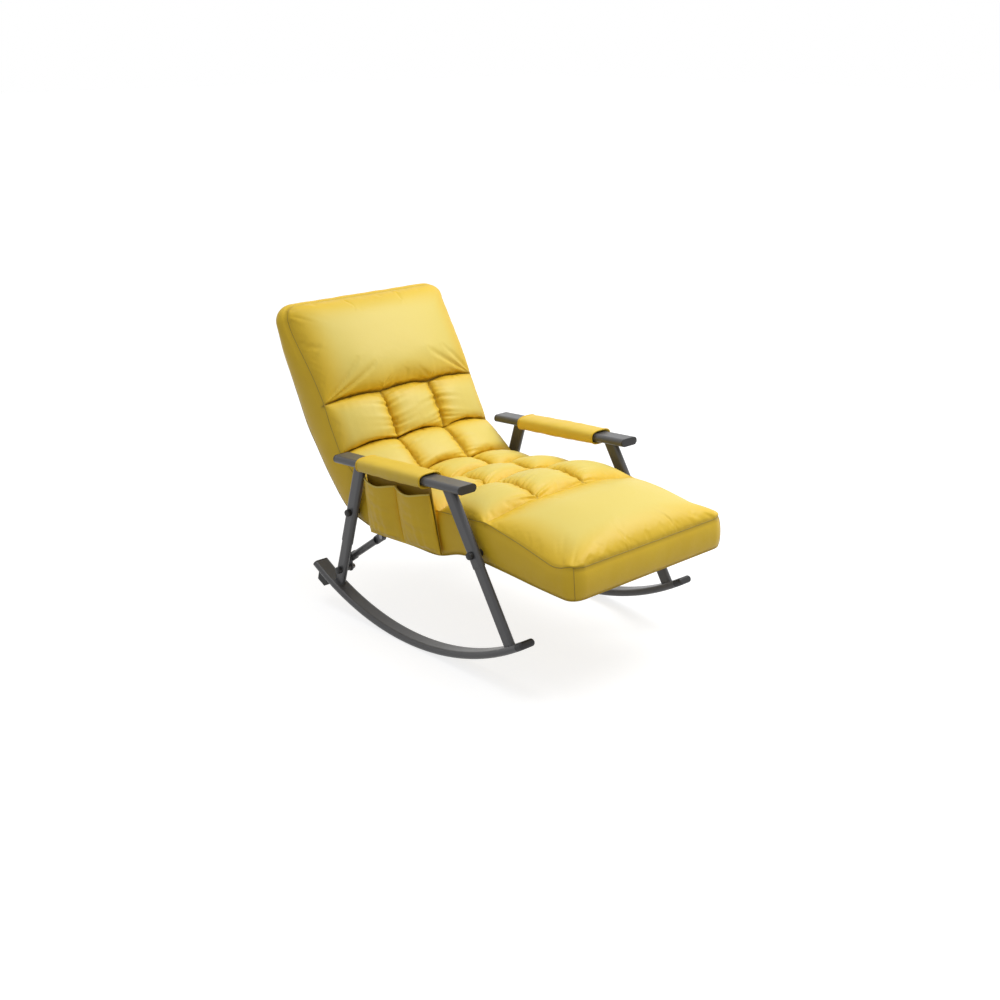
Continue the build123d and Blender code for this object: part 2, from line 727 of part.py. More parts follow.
def pad_body(top, underside, support_line, cavity_floor):
    """Pad section between its top line and its underside, hollow from the support line to below the floor line."""
    block([*top, *reversed(underside)], -pad_side, pad_side)
    block([*support_line, *reversed(shifted(cavity_floor, -wall_gap))], -cavity_side, cavity_side, Mode.SUBTRACT)
    for s in sides.values():
        ledge = [*shifted(top, tuft_crown), *reversed(shifted(top, -seam_drop))]
        block(ledge, s * (pad_side - seam_inset), s * (pad_side + seam_inset), Mode.SUBTRACT)


seat_creases = [crease_foot, crease_5, crease_4, crease_3]
with BuildPart() as seat_cushion:
    pad_body(seat_creases, seat_underside, seat_support, seat_underside)
    tufted_rows(seat_creases)
    block(behind_seat, -pad_width, pad_width, Mode.SUBTRACT)
    block(ahead_of_seat, -pad_width, pad_width, Mode.SUBTRACT)
    bore(front_hinge, hinge_room)
    bore(rear_hinge, hinge_room)
save(seat_cushion.part, "seat_cushion")

back_creases = [crease_3, crease_2, crease_1]
head_seam = Plane(origin=(0, *crease_1), x_dir=(1, 0, 0), z_dir=(0, *back_unit))
with BuildPart() as back_cushion:
    pad_body([*back_creases, head_top], back_line, back_support, back_floor)
    tufted_rows(back_creases)
    split(bisect_by=head_seam, keep=Keep.BOTTOM)
    block(ahead_of_back, -pad_width, pad_width, Mode.SUBTRACT)
    bore(rear_hinge, hinge_room)
save(back_cushion.part, "back_cushion")

with BuildPart() as head_cushion:
    pad_body([*back_creases, head_top], back_line, back_support, back_floor)
    add(tuft(crease_1, head_top, seam_inset - pad_side, pad_side - seam_inset, head_crown))
    split(bisect_by=head_seam, keep=Keep.TOP)
save(head_cushion.part, "head_cushion")

foot_seam = (crease_foot[0], crease_foot[1] - seam_drop)
with BuildPart() as foot_cushion:
    block([foot_top, foot_seam, foot_heel, foot_bottom], -pad_side, pad_side)
    foot_floor = shifted([foot_bottom, foot_heel], -wall_gap)
    foot_cavity = [*foot_support, foot_floor[1], (foot_support[0][0], foot_floor[0][1])]
    block(foot_cavity, -cavity_side, cavity_side, Mode.SUBTRACT)
    add(tuft(foot_top, foot_seam, seam_inset - pad_side, pad_side - seam_inset, foot_crown))
    block(behind_foot, -pad_width, pad_width, Mode.SUBTRACT)
    bore(front_hinge, hinge_room)
save(foot_cushion.part, "foot_cushion")

# Closing sheets under the pad
with BuildPart() as seat_under_cover:
    add(sheet(seat_underside, 0, cover, cover_side))
    block(behind_seat, -pad_width, pad_width, Mode.SUBTRACT)
    block(ahead_of_seat, -pad_width, pad_width, Mode.SUBTRACT)
    bore(front_hinge, hinge_room)
    bore(rear_hinge, hinge_room)
    slot = plate_width / 2 + pad_gap
    for s in sides.values():
        with Locations((s * pad_side, *brace_head)):
            Box(2 * (pad_side - rail_outer + pad_gap), 2 * slot, frame_span, mode=Mode.SUBTRACT)
save(seat_under_cover.part, "seat_under_cover")

back_wall = Plane(origin=(0, *back_support[-1]), x_dir=(1, 0, 0), z_dir=(0, *back_unit)).offset(-pad_gap)
with BuildPart() as back_cover:
    add(sheet(back_line, 0, cover, cover_side))
    split(bisect_by=back_wall, keep=Keep.BOTTOM)
    block(ahead_of_back, -pad_width, pad_width, Mode.SUBTRACT)
    bore(rear_hinge, hinge_room)
save(back_cover.part, "back_cover")

foot_cover_start = along(foot_bottom, foot_heel, foot_support[0][0] - foot_bottom[0] + pad_gap)
with BuildPart() as foot_under_cover:
    add(sheet([foot_cover_start, foot_heel], 0, cover, cover_side))
    block(behind_foot, -pad_width, pad_width, Mode.SUBTRACT)
    bore(front_hinge, hinge_room)
save(foot_under_cover.part, "foot_under_cover")
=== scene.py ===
"""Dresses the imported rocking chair: a tufted pad, armrest sleeves and a pocket on its tube frame."""

from math import cos, pi, radians, sin

import bmesh
import bpy
import numpy as np
from mathutils import Matrix, Vector


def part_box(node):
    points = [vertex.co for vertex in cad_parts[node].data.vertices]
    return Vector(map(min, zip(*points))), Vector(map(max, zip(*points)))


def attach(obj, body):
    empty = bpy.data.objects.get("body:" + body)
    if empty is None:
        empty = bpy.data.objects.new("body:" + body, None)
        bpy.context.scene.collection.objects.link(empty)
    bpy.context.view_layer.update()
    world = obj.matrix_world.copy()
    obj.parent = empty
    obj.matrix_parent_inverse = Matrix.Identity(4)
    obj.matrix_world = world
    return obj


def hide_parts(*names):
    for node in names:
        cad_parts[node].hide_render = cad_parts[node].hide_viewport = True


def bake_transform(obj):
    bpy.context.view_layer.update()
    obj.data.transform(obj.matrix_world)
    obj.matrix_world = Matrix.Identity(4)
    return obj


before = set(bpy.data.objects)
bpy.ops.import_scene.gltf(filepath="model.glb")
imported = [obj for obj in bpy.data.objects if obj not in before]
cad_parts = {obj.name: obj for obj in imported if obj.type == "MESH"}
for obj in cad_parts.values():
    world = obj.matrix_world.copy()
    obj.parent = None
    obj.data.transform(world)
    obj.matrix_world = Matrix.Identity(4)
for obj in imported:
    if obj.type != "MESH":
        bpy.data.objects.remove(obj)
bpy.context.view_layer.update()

# Lengths are in metres. A station counts the pad's creases from the foot's front edge to the head's top.
tiny = 1e-12  # keeps divisors off zero

# The pad's creases in side view, as (Y, Z)
top_line = np.array([
    (-0.590, 0.371), (-0.275, 0.427), (-0.092, 0.412), (0.064, 0.381),
    (0.191, 0.384), (0.304, 0.461), (0.377, 0.586), (0.555, 0.829),
])
# The pad's underside at each crease and halfway between creases
under_line = np.array([
    (-0.590, 0.290), (-0.425, 0.291), (-0.259, 0.298), (-0.178, 0.294), (-0.092, 0.268),
    (0.000, 0.265), (0.085, 0.265), (0.155, 0.267), (0.222, 0.276), (0.300, 0.302),
    (0.372, 0.372), (0.430, 0.445), (0.484, 0.522), (0.550, 0.668), (0.590, 0.803),
])

# Panels from foot to head, one value each
foot_panel, head_panel = 0, 6
panel_rows = (44, 30, 24, 18, 20, 22, 44)  # rows of points before the grid is refined
panel_height = (0.050, 0.050, 0.050, 0.044, 0.042, 0.046, 0.064)
panel_sharp = (1.0, 0.85, 0.75, 0.6, 0.5, 0.5, 1.0)  # small values give steep creases
panel_slump = (0.0, 0.0, 0.1, 0.2, 0.55, 0.65, 0.60)  # how far the filling hangs over the crease below
panel_gather = (0.0, 1.1, 1.1, 0.7, 0.6, 1.0, 0.0)

# Creases from the foot's front edge to the head's top, one value each
last_crease = len(panel_rows)
split_crease = 2  # the pad's two pieces meet here
crease_arch = (0.0, 0.004, 0.012, 0.013, 0.013, 0.011, 0.007, 0.0)  # how far it bows up between seams
# Share of the painted shade along each crease
crease_painted_shade = (0.3, 0.2, 0.3, 0.5, 0.9, 0.95, 0.95, 0.3)
crease_gather = (0.2, 0.0, 0.1, 0.1, 0.3, 0.4, 0.5, 0.0)

# Plan of the pad
pad_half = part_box("seat_cushion")[1].x
middle_share = 0.32  # of the width, for the middle column of tufts
middle_half = middle_share * pad_half
column_steps = 24
corner_radius = 0.042
end_spread = 0.032  # widening towards the foot's front and the head's top
foot_spread_start, foot_spread_run = 0.7, 0.6  # in panels
head_spread_start, head_spread_run = 6.1, 0.7

# Profile of the tufts, whose sides are -1 and 1
seam_sharp, edge_sharp = 0.5, 0.6  # small values are steep: at a long seam, at the pad's edge
seam_lift = 0.22  # share of the height that stays at a long seam
lift_end = 0.2  # place across a tuft where the lift ends
slump_top, slump_run, slump_start = 0.4, 1.2, 0.1  # where it sets in, its run down, its fade at the crease
bow_reach = 0.28  # of a panel
slope_reach = 0.35  # of a panel, over which the pad's slope is averaged to each side

# Profile of the smooth foot and head panels
edge_roll = 0.085
roll_sharp = 0.5
dome_share = 0.2  # of the height, for a dome across the whole width
dome_profile = (1.0, 2.0)  # sharpness and flatness, here a parabola
head_profile = (0.5, 3.0)  # the same, from the head's crease upwards
foot_profile = (0.9, 2.0)  # the same, towards the foot's crease

# Outer seam
seam_drop = 0.022  # how far it lies below the creases
drop_run = 0.08  # over which it drops, from the pad's ends
head_seam_drop = 0.45  # of the drop elsewhere
head_drop_lead = 0.5  # of a panel below the head
seam_inset = 0.003

# Cloth simulation
sim_start = 0.8  # share of the full height that it starts from
sim_frames = 20
sim_reach = 0.022  # furthest move of a point

# Gathers beside the long seams and beside the creases
seam_gather_depth, crease_gather_depth = 0.0054, 0.0020
seam_gather_reach, crease_gather_reach = 0.028, 0.026
seam_gather_start, crease_gather_start = 0.005, 0.006
seam_gather_wave, crease_gather_wave = 0.0185, 0.030
seam_gather_lean, crease_gather_lean = 9, 4  # waves per metre away from the seam
seam_gather_shift, crease_gather_shift = 0.37, 0.6  # of a wave, from one seam to the next
edge_fade_run = 0.02

# Shares of the leather's painted shade colour and painted highlight colour, and how far they reach
seam_painted_shade = 0.5
under_seam_painted_shade = 0.35
painted_shade_reach = 0.004
tuft_highlight_reach, smooth_highlight_reach = 0.05, 0.10

# Side band and underside
boxing_steps = 8
boxing_bulge = 0.007
bulge_power = 0.6
back_bulge, back_bulge_start = 0.005, 3.6  # further bulge up the back, and its station
head_bulge, head_bulge_lead = 0.006, 0.2  # and further still from a little below the head
band_wave_depth, band_wave, band_wave_lean = 0.0006, 0.09, 0.4
under_width = 0.99  # of the pad's width
under_column_count = 19
cord_radius = 0.0013
corner_cord_radius, corner_cord_lift = 0.0010, 0.0002


def smooth(t):
    """Eases from 0 to 1."""
    t = np.clip(t, 0, 1)
    return t * t * (3 - 2 * t)


def pillow(p, sharp, flat=2.2):
    """Height across a stuffed cell, where p runs from -1 to 1."""
    return (1 - np.abs(np.clip(p, -1, 1)) ** flat) ** sharp


def ripple(u, seed):
    """Uneven waves of about one unit's length and height."""
    frequencies = (1.0, 0.73, 1.37, 0.41)
    phases = np.sin(seed * np.array([1.3, 2.7, 4.1, 5.9])) * 6
    usual_peak = 2.4
    return sum(np.sin(2 * pi * f * u + a) for f, a in zip(frequencies, phases)) / usual_peak


def on_polyline(points, place):
    """Points on a polyline, where place counts its corners."""
    k = np.clip(np.floor(place).astype(int), 0, len(points) - 2)
    t = (place - k)[..., None]
    return points[k] * (1 - t) + points[k + 1] * t


def on_curve(points, place):
    """Points on a smooth curve through all the points, where place counts them."""
    k = np.clip(np.floor(place).astype(int), 0, len(points) - 2)
    t = (place - k)[..., None]
    before, after = points[np.maximum(k - 1, 0)], points[np.minimum(k + 2, len(points) - 1)]
    here, there = points[k], points[k + 1]
    return 0.5 * (2 * here + (there - before) * t + (2 * before - 5 * here + 4 * there - after) * t**2
                  + (3 * here - before - 3 * there + after) * t**3)


def eased_steps(count):
    """Steps from 0 to 1 that are closer at both ends."""
    t = np.arange(count) / count
    return 0.5 * t + 0.5 * (0.5 - 0.5 * np.cos(pi * t))


def refined(grid, axis):
    """Adds a row between each two rows of a grid, on a smooth curve."""
    p = np.moveaxis(grid, axis, 0)
    ends = np.concatenate([2 * p[:1] - p[1:2], p, 2 * p[-1:] - p[-2:-1]])
    between = (9 * (p[:-1] + p[1:]) - ends[:-3] - ends[3:]) / 16
    out = np.empty((2 * len(p) - 1, *p.shape[1:]))
    out[0::2] = p
    out[1::2] = between
    return np.moveaxis(out, 0, axis)


def grid_normals(grid):
    """Unit normals of a grid of points, on the side that faces up for the pad."""
    n = np.cross(np.gradient(grid, axis=1), np.gradient(grid, axis=0))
    return n / np.maximum(np.linalg.norm(n, axis=-1, keepdims=True), tiny)


def grid_quad(i, j, width):
    """Point numbers of one cell of a grid that is width points wide."""
    return i * width + j, (i + 1) * width + j, (i + 1) * width + j + 1, i * width + j + 1


def make_object(name, points, faces):
    """A smooth mesh object with its faces turned outwards."""
    mesh = bpy.data.meshes.new(name)
    mesh.from_pydata([tuple(p) for p in points], [], faces)
    work = bmesh.new()
    work.from_mesh(mesh)
    bmesh.ops.recalc_face_normals(work, faces=work.faces)
    work.to_mesh(mesh)
    work.free()
    mesh.shade_smooth()
    piece = bpy.data.objects.new(name, mesh)
    bpy.context.scene.collection.objects.link(piece)
    return piece


def tube(name, path, radius, closed=False, sides=8):
    """A round cord along a path of points."""
    path = np.asarray(path)
    ahead = np.roll(path, -1, axis=0) - np.roll(path, 1, axis=0)
    if not closed:
        ahead[0], ahead[-1] = path[1] - path[0], path[-1] - path[-2]
    ahead /= np.linalg.norm(ahead, axis=1, keepdims=True)
    unlike_any_path = (0.31, 0.17, 0.93)
    aside = np.cross(ahead, unlike_any_path)
    aside /= np.linalg.norm(aside, axis=1, keepdims=True)
    other = np.cross(ahead, aside)
    angles = 2 * pi * np.arange(sides) / sides
    cosine, sine = np.cos(angles)[:, None], np.sin(angles)[:, None]
    rings = path[:, None] + radius * (cosine * aside[:, None] + sine * other[:, None])
    count = len(path)
    faces = [(i * sides + a, ((i + 1) % count) * sides + a, ((i + 1) % count) * sides + (a + 1) % sides,
              i * sides + (a + 1) % sides)
             for i in range(count if closed else count - 1) for a in range(sides)]
    if not closed:
        faces += [tuple(range(sides)), tuple((count - 1) * sides + a for a in range(sides))]
    return make_object(name, rings.reshape(-1, 3), faces)


def tint(piece, label, shares):
    """Stores each point's share of one of the leather's painted colours: its painted shade or its painted
    highlight.
    """
    attribute = piece.data.attributes.new(label, "FLOAT", "POINT")
    attribute.data.foreach_set("value", np.asarray(shares, np.float32))


# Grid of the pad's upper side
stations = np.concatenate([k + eased_steps(n) for k, n in enumerate(panel_rows)] + [[last_crease]])
column_edges = (-pad_half, -middle_half, middle_half, pad_half)
columns = np.concatenate(
    [a + (b - a) * eased_steps(column_steps) for a, b in zip(column_edges, column_edges[1:])] + [[pad_half]]
)
coarse_station, coarse_x = np.meshgrid(stations, columns, indexing="ij")
panel_length = np.linalg.norm(np.diff(top_line, axis=0), axis=1)
foot_length, head_length = panel_length[foot_panel], panel_length[head_panel]


def panel_at(station):
    """Number of the panel at each station."""
    return np.clip(np.floor(station).astype(int), 0, last_crease - 1)


def along_panel(station):
    """Place along a panel, from -1 at its lower crease to 1."""
    return 2 * (station - panel_at(station)) - 1


def across_column(x):
    """Place across a column of tufts, from -1 to 1: along X in the middle one, outwards in the others."""
    outwards = 2 * (np.abs(x) - middle_half) / (pad_half - middle_half) - 1
    return np.where(np.abs(x) < middle_half, x / middle_half, outwards)


def rounded(station, x):
    """Rounds the pad's four corners in plan."""
    station, x = station.copy(), x.copy()
    for end, sign, length in ((0, 1, foot_length), (last_crease, -1, head_length)):
        a = 1 - sign * (station - end) * length / corner_radius
        b = 1 - (pad_half - np.abs(x)) / corner_radius
        corner = (a > 0) & (b > 0)
        turned_a = a * np.sqrt(1 - b**2 / 2, where=corner, out=np.ones_like(a))
        turned_b = b * np.sqrt(1 - a**2 / 2, where=corner, out=np.ones_like(a))
        station[corner] = (end + sign * (1 - turned_a) * corner_radius / length)[corner]
        x[corner] = (np.sign(x) * (pad_half - (1 - turned_b) * corner_radius))[corner]
    return station, x


def lie(station):
    """Points, tangents and normals of the crease line, as (Y, Z)."""
    after = on_polyline(top_line, np.minimum(station + slope_reach, last_crease))
    before = on_polyline(top_line, np.maximum(station - slope_reach, 0))
    tangent = (after - before) / np.linalg.norm(after - before, axis=-1, keepdims=True)
    normal = np.stack([-tangent[..., 1], tangent[..., 0]], axis=-1)
    return on_polyline(top_line, station), tangent, normal


def spread(station):
    """Width of the pad against its width at the seat."""
    to_foot = smooth((foot_spread_start - station) / foot_spread_run)
    to_head = smooth((station - head_spread_start) / head_spread_run)
    return 1 + end_spread * (to_foot + to_head)


def stuffing(station, x):
    """Height of the filling over the creases."""
    panel, along, across = panel_at(station), along_panel(station), across_column(x)
    at_edge = (np.abs(x) >= middle_half) & (across >= 0)
    column = np.where(at_edge, pillow(across, edge_sharp), pillow(across, seam_sharp))
    column = np.where(across < lift_end, seam_lift + (1 - seam_lift) * column, column)
    tuft = column * pillow(along, np.array(panel_sharp)[panel])
    to_end = np.minimum(station * foot_length, (last_crease - station) * head_length)
    p, q = (np.clip(1 - d / edge_roll, 0, 1) for d in (to_end, pad_half - np.abs(x)))
    dome = 1 - dome_share + dome_share * pillow(x / pad_half, *dome_profile)
    rolled = pillow(np.sqrt(p**2 + q**2 - p**2 * q**2), roll_sharp) * dome
    head = np.where(along < 0, pillow(along, *head_profile), 1.0)
    foot = np.where(along < 0, 1.0, pillow(along, *foot_profile))
    smooth_panel = rolled * np.where(panel == head_panel, head, foot)
    tufted = (panel != foot_panel) & (panel != head_panel)
    return np.array(panel_height)[panel] * np.where(tufted, tuft, smooth_panel)


def puffed(share):
    """Upper side of the pad, stuffed to a share of its full height."""
    station, x = coarse_station, coarse_x
    height, along = stuffing(station, x), along_panel(station)
    from_foot, from_head = station * foot_length, (last_crease - station) * head_length
    ends = smooth(from_foot / drop_run) * smooth(from_head / drop_run)
    side = smooth((np.abs(x) - middle_half) / (pad_half - middle_half))
    side = side * (1 - (1 - head_seam_drop) * smooth(station - head_panel + head_drop_lead))
    slump = np.array(panel_slump)[panel_at(station)] * height
    slump = slump * smooth((slump_top - along) / slump_run) * smooth((1 + along) / slump_start)
    nearest = np.round(station)
    bow = np.array(crease_arch)[nearest.astype(int)] * np.exp(-((station - nearest) / bow_reach) ** 2)
    bow = bow * (1 - across_column(x) ** 2)
    rise = share * height - seam_drop * ends * side
    slide = bow - share * slump
    turned_station, turned_x = rounded(station, x)
    point, tangent, normal = lie(turned_station)
    yz = point + normal * rise[..., None] + tangent * slide[..., None]
    return np.concatenate([(turned_x * spread(turned_station))[..., None], yz], axis=-1)


def sewn_points():
    """The points held by seams: the edge, the creases and the two long seams."""
    near = 1e-6
    edge = np.zeros(coarse_station.shape, bool)
    edge[[0, -1]] = True
    edge[:, [0, -1]] = True
    crease = np.abs(coarse_station - np.round(coarse_station)) < near
    between = (coarse_station > foot_panel + 1 - near) & (coarse_station < head_panel + near)
    long_seam = (np.abs(np.abs(coarse_x) - middle_half) < near) & between
    return edge | crease | long_seam


def inflated(grid, held):
    """Lets cloth pressure fill the sewn cells, with the seams held."""
    rows, cols = grid.shape[:2]
    faces = [(i * cols + j, i * cols + j + 1, (i + 1) * cols + j + 1, (i + 1) * cols + j)
             for i in range(rows - 1) for j in range(cols - 1)]
    mesh = bpy.data.meshes.new("pad_cloth")
    mesh.from_pydata([tuple(p) for p in grid.reshape(-1, 3)], [], faces)
    cloth_object = bpy.data.objects.new("pad_cloth", mesh)
    bpy.context.scene.collection.objects.link(cloth_object)
    sewn = cloth_object.vertex_groups.new(name="sewn")
    sewn.add([int(i) for i in np.flatnonzero(held.ravel())], 1.0, "REPLACE")
    cloth = cloth_object.modifiers.new("cloth", "CLOTH").settings
    cloth.quality = 6
    cloth.mass = 0.3
    cloth.tension_stiffness = 12
    cloth.compression_stiffness = 8
    cloth.shear_stiffness = 5
    cloth.bending_stiffness = 0.4
    cloth.vertex_group_mass = "sewn"
    cloth.shrink_min = -0.005
    cloth.use_pressure = True
    cloth.uniform_pressure_force = 4.0
    cloth.effector_weights.gravity = 0
    cloth_object.modifiers["cloth"].point_cache.frame_end = sim_frames
    scene = bpy.context.scene
    for number in range(1, sim_frames + 1):
        scene.frame_set(number)
    result = cloth_object.evaluated_get(bpy.context.evaluated_depsgraph_get())
    moved = np.empty(rows * cols * 3)
    result.data.vertices.foreach_get("co", moved)
    scene.frame_set(1)
    bpy.data.objects.remove(cloth_object)
    step = moved.reshape(rows, cols, 3) - grid
    length = np.linalg.norm(step, axis=-1, keepdims=True)
    return grid + step * np.minimum(1, sim_reach / np.maximum(length, tiny))


def gather_fade(distance, reach, start):
    """Strength of gathers, which set in beside a seam and fade further off."""
    return np.exp(-distance / reach) * (1 - np.exp(-distance / start))


upper = inflated(puffed(sim_start), sewn_points())
station, x = coarse_station, coarse_x
for axis in (0, 1):
    upper, station, x = (refined(grid, axis) for grid in (upper, station, x))
station = np.clip(station, 0, last_crease)
rows, cols = station.shape

# Gathers beside the seams
panel = panel_at(station)
crease_run = np.concatenate([[0], np.cumsum(panel_length)])
run = crease_run[panel] + (station - panel) * panel_length[panel]
crease_distance = [np.abs(run - place) for place in crease_run]
from_seam = np.abs(np.abs(x) - middle_half)
gathers = seam_gather_depth * np.array(panel_gather)[panel]
gathers = gathers * gather_fade(from_seam, seam_gather_reach, seam_gather_start)
shift = np.where(x > 0, seam_gather_shift, 0.0)
place = run / seam_gather_wave + shift + seam_gather_lean * from_seam * np.sign(x)
gathers = gathers * ripple(place, seed=2.0)
for number, distance in enumerate(crease_distance):
    strength = crease_gather_depth * crease_gather[number]
    strength = strength * gather_fade(distance, crease_gather_reach, crease_gather_start)
    place = x / crease_gather_wave + crease_gather_shift * number + crease_gather_lean * distance
    gathers += strength * ripple(place, seed=1.0 + number)
edge_fade = smooth((pad_half - np.abs(x)) / edge_fade_run)
upper = upper + grid_normals(upper) * (gathers * edge_fade)[..., None]

# Painted shade in the creases and along the long seams, and a painted highlight on the crowns of the upper
# side
tufted = (panel > foot_panel) & (panel < head_panel)
seam_distance = np.minimum(np.min(crease_distance, axis=0), np.where(tufted, from_seam, np.inf))
crease_shade = np.where(tufted, seam_painted_shade * np.exp(-from_seam / painted_shade_reach), 0)
for distance, shade_share in zip(crease_distance, crease_painted_shade):
    crease_shade = np.maximum(crease_shade, shade_share * np.exp(-distance / painted_shade_reach))
highlight_reach = np.where(tufted, tuft_highlight_reach, smooth_highlight_reach)
crown = smooth(np.minimum(seam_distance, pad_half - np.abs(x)) / highlight_reach).ravel()

# Outer seam, as a loop round the upper side, with its outward direction
loop = ([(0, j) for j in range(cols)] + [(i, cols - 1) for i in range(1, rows)]
        + [(rows - 1, j) for j in range(cols - 2, -1, -1)] + [(i, 0) for i in range(rows - 2, 0, -1)])
loop_place = {place: number for number, place in enumerate(loop)}
loop_rows, loop_cols = np.array(loop).T
turned_station, turned_x = rounded(station, x)
edge_station, edge_x = turned_station[loop_rows, loop_cols], turned_x[loop_rows, loop_cols]
_, edge_tangent, _ = lie(edge_station)
to_foot = np.clip(1 - edge_station * foot_length / corner_radius, 0, 1)
to_head = np.clip(1 - (last_crease - edge_station) * head_length / corner_radius, 0, 1)
endwards = to_foot - to_head
sidewards = np.sign(edge_x) * np.clip(1 - (pad_half - np.abs(edge_x)) / corner_radius, 0, 1)
outward = np.stack([sidewards, -endwards * edge_tangent[:, 0], -endwards * edge_tangent[:, 1]], axis=-1)
outward /= np.maximum(np.linalg.norm(outward, axis=-1, keepdims=True), tiny)
seam_loop = upper[loop_rows, loop_cols] - outward * seam_inset
upper[loop_rows, loop_cols] = seam_loop

# Side band and underside
under_yz = on_curve(under_line, 2 * edge_station)
under_loop = np.concatenate([(under_width * edge_x * spread(edge_station))[:, None], under_yz], axis=-1)
loop_run = np.concatenate([[0], np.cumsum(np.linalg.norm(np.diff(seam_loop, axis=0), axis=1))])
band_bulge = boxing_bulge + back_bulge * smooth(edge_station - back_bulge_start)
band_bulge = band_bulge + head_bulge * smooth(edge_station - head_panel + head_bulge_lead)
points = [upper.reshape(-1, 3)]
shades = [crease_shade.ravel()]
for step in range(1, boxing_steps + 1):
    v = step / boxing_steps
    waves = band_wave_depth * sin(pi * v) * ripple(loop_run / band_wave + band_wave_lean * v, seed=3.0)
    bulge = band_bulge * sin(pi * v) ** bulge_power + waves
    points.append(seam_loop * (1 - v) + under_loop * v + outward * bulge[:, None])
    # The last step lies on the seam under the side band, which gets painted shade
    shades.append(np.full(len(loop), under_seam_painted_shade if step == boxing_steps else 0.0))
under_columns = np.linspace(0, cols - 1, under_column_count).round().astype(int)
inner = np.ix_(range(1, rows - 1), under_columns[1:-1])
under_x = under_width * x[inner] * spread(station[inner])
under_grid = np.concatenate([under_x[..., None], on_curve(under_line, 2 * station[inner])], axis=-1)
points.append(under_grid.reshape(-1, 3))
shades.append(np.zeros(under_x.size))
points = np.concatenate(points)
shades = np.concatenate(shades)
painted_highlights = np.concatenate([crown, np.zeros(len(points) - len(crown))])
band_start = rows * cols
under_start = band_start + boxing_steps * len(loop)


def band_point(number, step):
    """Index of a point of the side band, step 0 being the seam."""
    if step == 0:
        return loop[number][0] * cols + loop[number][1]
    return band_start + (step - 1) * len(loop) + number


def under_point(i, column):
    """Index of a point of the underside, at one of its columns."""
    place = (i, int(under_columns[column]))
    if place in loop_place:
        return band_point(loop_place[place], boxing_steps)
    return under_start + (i - 1) * (len(under_columns) - 2) + column - 1


def under_edge(i, column):
    """Indices of the underside's points in a row, from one of its columns to the next."""
    if i in (0, rows - 1):
        first, last = under_columns[column], under_columns[column + 1]
        return [band_point(loop_place[(i, j)], boxing_steps) for j in range(first, last + 1)]
    return [under_point(i, column), under_point(i, column + 1)]


split_row = int(np.argmin(np.abs(station[:, 0] - split_crease)))
pad_faces = {"front": [], "rear": []}


def half_of(i):
    """Faces of the pad's piece that a row of faces belongs to."""
    return pad_faces["front" if i < split_row else "rear"]


for i in range(rows - 1):
    for j in range(cols - 1):
        half_of(i).append(grid_quad(i, j, cols))
for number in range(len(loop)):
    other = (number + 1) % len(loop)
    row = min(loop[number][0], loop[other][0], rows - 2)
    for step in range(boxing_steps):
        half_of(row).append((band_point(number, step), band_point(other, step),
                             band_point(other, step + 1), band_point(number, step + 1)))
for i in range(rows - 1):
    for column in range(len(under_columns) - 1):
        half_of(i).append(tuple(under_edge(i, column) + under_edge(i + 1, column)[::-1]))
left_side = [band_point(loop_place[(split_row, cols - 1)], step) for step in range(1, boxing_steps + 1)]
right_side = [band_point(loop_place[(split_row, 0)], step) for step in range(1, boxing_steps + 1)]
under_side = [under_point(split_row, column) for column in range(len(under_columns) - 2, 0, -1)]
cut = [split_row * cols + j for j in range(cols)] + left_side + under_side + right_side[::-1]


# Materials
def new_material(name):
    """A material with its node tree and shader."""
    material = bpy.data.materials.new(name)
    material.use_nodes = True
    return material, material.node_tree, material.node_tree.nodes["Principled BSDF"]


def ranged(tree, value, low, high):
    """Maps a value from 0 to 1 to a range."""
    node = tree.nodes.new("ShaderNodeMapRange")
    node.inputs["To Min"].default_value = low
    node.inputs["To Max"].default_value = high
    tree.links.new(value, node.inputs["Value"])
    return node.outputs["Result"]


def noise(tree, scale, detail):
    """Noise over the object's own space, which is metres."""
    place = tree.nodes.new("ShaderNodeTexCoord")
    node = tree.nodes.new("ShaderNodeTexNoise")
    node.inputs["Scale"].default_value = scale
    node.inputs["Detail"].default_value = detail
    tree.links.new(place.outputs["Object"], node.inputs["Vector"])
    return node.outputs["Fac"]


def bump(tree, height, strength, distance):
    """A bump node that reads a height."""
    node = tree.nodes.new("ShaderNodeBump")
    node.inputs["Strength"].default_value = strength
    node.inputs["Distance"].default_value = distance
    tree.links.new(height, node.inputs["Height"])
    return node


def colour_mix(tree, share, colour):
    """A node that mixes a colour over its input A by a share."""
    node = tree.nodes.new("ShaderNodeMix")
    node.data_type = "RGBA"
    node.inputs["B"].default_value = (*colour, 1)
    tree.links.new(share, node.inputs["Factor"])
    return node


